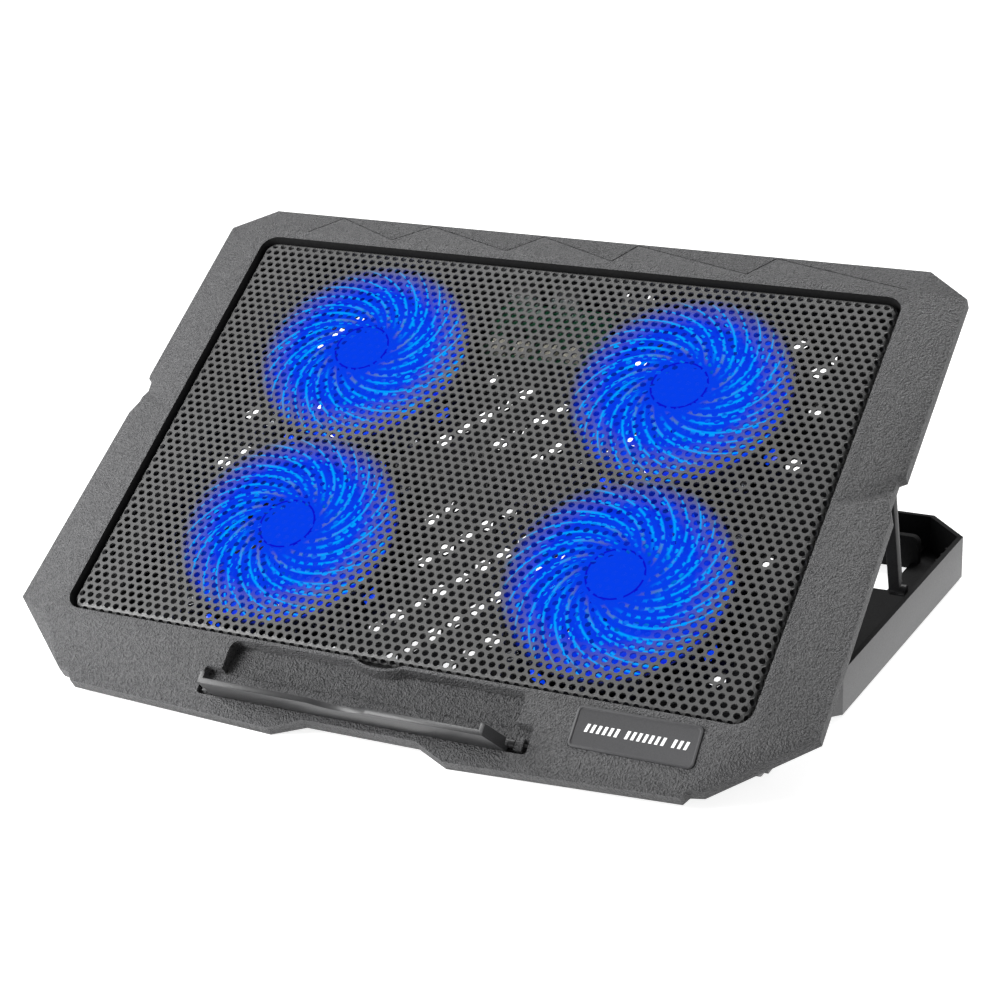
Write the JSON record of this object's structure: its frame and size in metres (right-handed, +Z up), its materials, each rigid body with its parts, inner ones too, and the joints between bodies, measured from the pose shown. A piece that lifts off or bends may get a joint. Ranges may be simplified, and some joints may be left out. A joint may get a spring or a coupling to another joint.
{
  "type": "laptop cooling pad",
  "caption": "Tilting laptop cooling pad with a perforated metal top, lit fans under it, a fold-up laptop stop and a folding stand with struts.",
  "frame": {"origin": "on the table, under the centre of the whole pad with its stop and stand open", "axes": "+X to the right along the hinge, +Y to the back, +Z up from the table"},
  "size_m": [0.384, 0.3106, 0.1619],
  "materials": {
    "casing": "fine leather grain, satin",
    "mesh_metal": "satin",
    "shell_plastic": "matt",
    "badge_plastic": "satin",
    "stand_plastic": "satin",
    "strut_plastic": "satin",
    "stop_plastic": "satin",
    "rubber_foot": "matt",
    "steel": "satin",
    "coil": "satin",
    "fan_frame": "clear dark",
    "fan_blue": "lit blue",
    "led": "lit",
    "lead_rubber": "satin",
    "connector": "matt",
    "board": "satin",
    "chip": "matt",
    "socket_metal": "bright"
  },
  "bodies": {
    "stand": {"stand_frame": "stand_plastic", "stand_feet": "rubber_foot", "hinge_pins": "steel"},
    "deck": {"top_frame": "casing", "mesh_panel": "mesh_metal", "bottom_shell": "shell_plastic", "badge": "badge_plastic", "fan_frame_rear_left": "fan_frame", "fan_frame_rear_right": "fan_frame", "fan_frame_front_left": "fan_frame", "fan_frame_front_right": "fan_frame", "fan_stator_rear_left": "coil", "fan_stator_rear_right": "coil", "fan_stator_front_left": "coil", "fan_stator_front_right": "coil", "fan_leds": "led", "fan_leads": "lead_rubber", "lead_connectors": "connector", "fan_screws": "steel", "shell_screws": "steel", "control_board": "board", "board_chips": "chip", "usb_ports": "socket_metal", "speed_control": "socket_metal", "strut_pins": "steel", "stop_pins": "shell_plastic"},
    "strut_left": {"strut_left": "strut_plastic"},
    "strut_right": {"strut_right": "strut_plastic"},
    "laptop_stop": {"laptop_stop": "stop_plastic"},
    "speed_dial": {"speed_dial": "shell_plastic"},
    "rotor_rear_left": {"fan_rotor_rear_left": "fan_blue", "fan_shaft_rear_left": "steel"},
    "rotor_rear_right": {"fan_rotor_rear_right": "fan_blue", "fan_shaft_rear_right": "steel"},
    "rotor_front_left": {"fan_rotor_front_left": "fan_blue", "fan_shaft_front_left": "steel"},
    "rotor_front_right": {"fan_rotor_front_right": "fan_blue", "fan_shaft_front_right": "steel"}
  },
  "joints": [
    {"name": "deck_tilt", "type": "hinge", "parent": "stand", "child": "deck", "pos_m": [0, -0.10621, 0.01], "axis": [1, 0, 0], "range_deg": [-33, 0]},
    {"name": "strut_left_fold", "type": "hinge", "parent": "deck", "child": "strut_left", "pos_m": [-0.149, 0.08315, 0.14072], "axis": [1, 0, 0], "range_deg": [-49.5, 0]},
    {"name": "strut_right_fold", "type": "hinge", "parent": "deck", "child": "strut_right", "pos_m": [0.149, 0.08315, 0.14072], "axis": [1, 0, 0], "range_deg": [-49.5, 0]},
    {"name": "laptop_stop_fold", "type": "hinge", "parent": "deck", "child": "laptop_stop", "pos_m": [0, -0.13576, 0.0131], "axis": [1, 0, 0], "range_deg": [-106, 0]},
    {"name": "fan_spin_rear_left", "type": "hinge", "parent": "deck", "child": "rotor_rear_left", "pos_m": [-0.084, 0.02788, 0.11198], "axis": [0, -0.5446, 0.8387], "continuous": true},
    {"name": "fan_spin_rear_right", "type": "hinge", "parent": "deck", "child": "rotor_rear_right", "pos_m": [0.0775, 0.02788, 0.11198], "axis": [0, -0.5446, 0.8387], "continuous": true},
    {"name": "fan_spin_front_left", "type": "hinge", "parent": "deck", "child": "rotor_front_left", "pos_m": [-0.077, -0.05934, 0.05534], "axis": [0, -0.5446, 0.8387], "continuous": true},
    {"name": "fan_spin_front_right", "type": "hinge", "parent": "deck", "child": "rotor_front_right", "pos_m": [0.084, -0.05934, 0.05534], "axis": [0, -0.5446, 0.8387], "continuous": true},
    {"name": "speed_dial_turn", "type": "hinge", "parent": "deck", "child": "speed_dial", "pos_m": [0.033, 0.08042, 0.14014], "axis": [0, 0.8387, 0.5446], "range_deg": [0, 270]}
  ],
  "couplings": [
    {"joint": "strut_left_fold", "follows": "deck_tilt", "ratio": 1.4788},
    {"joint": "strut_right_fold", "follows": "deck_tilt", "ratio": 1.4788}
  ]
}
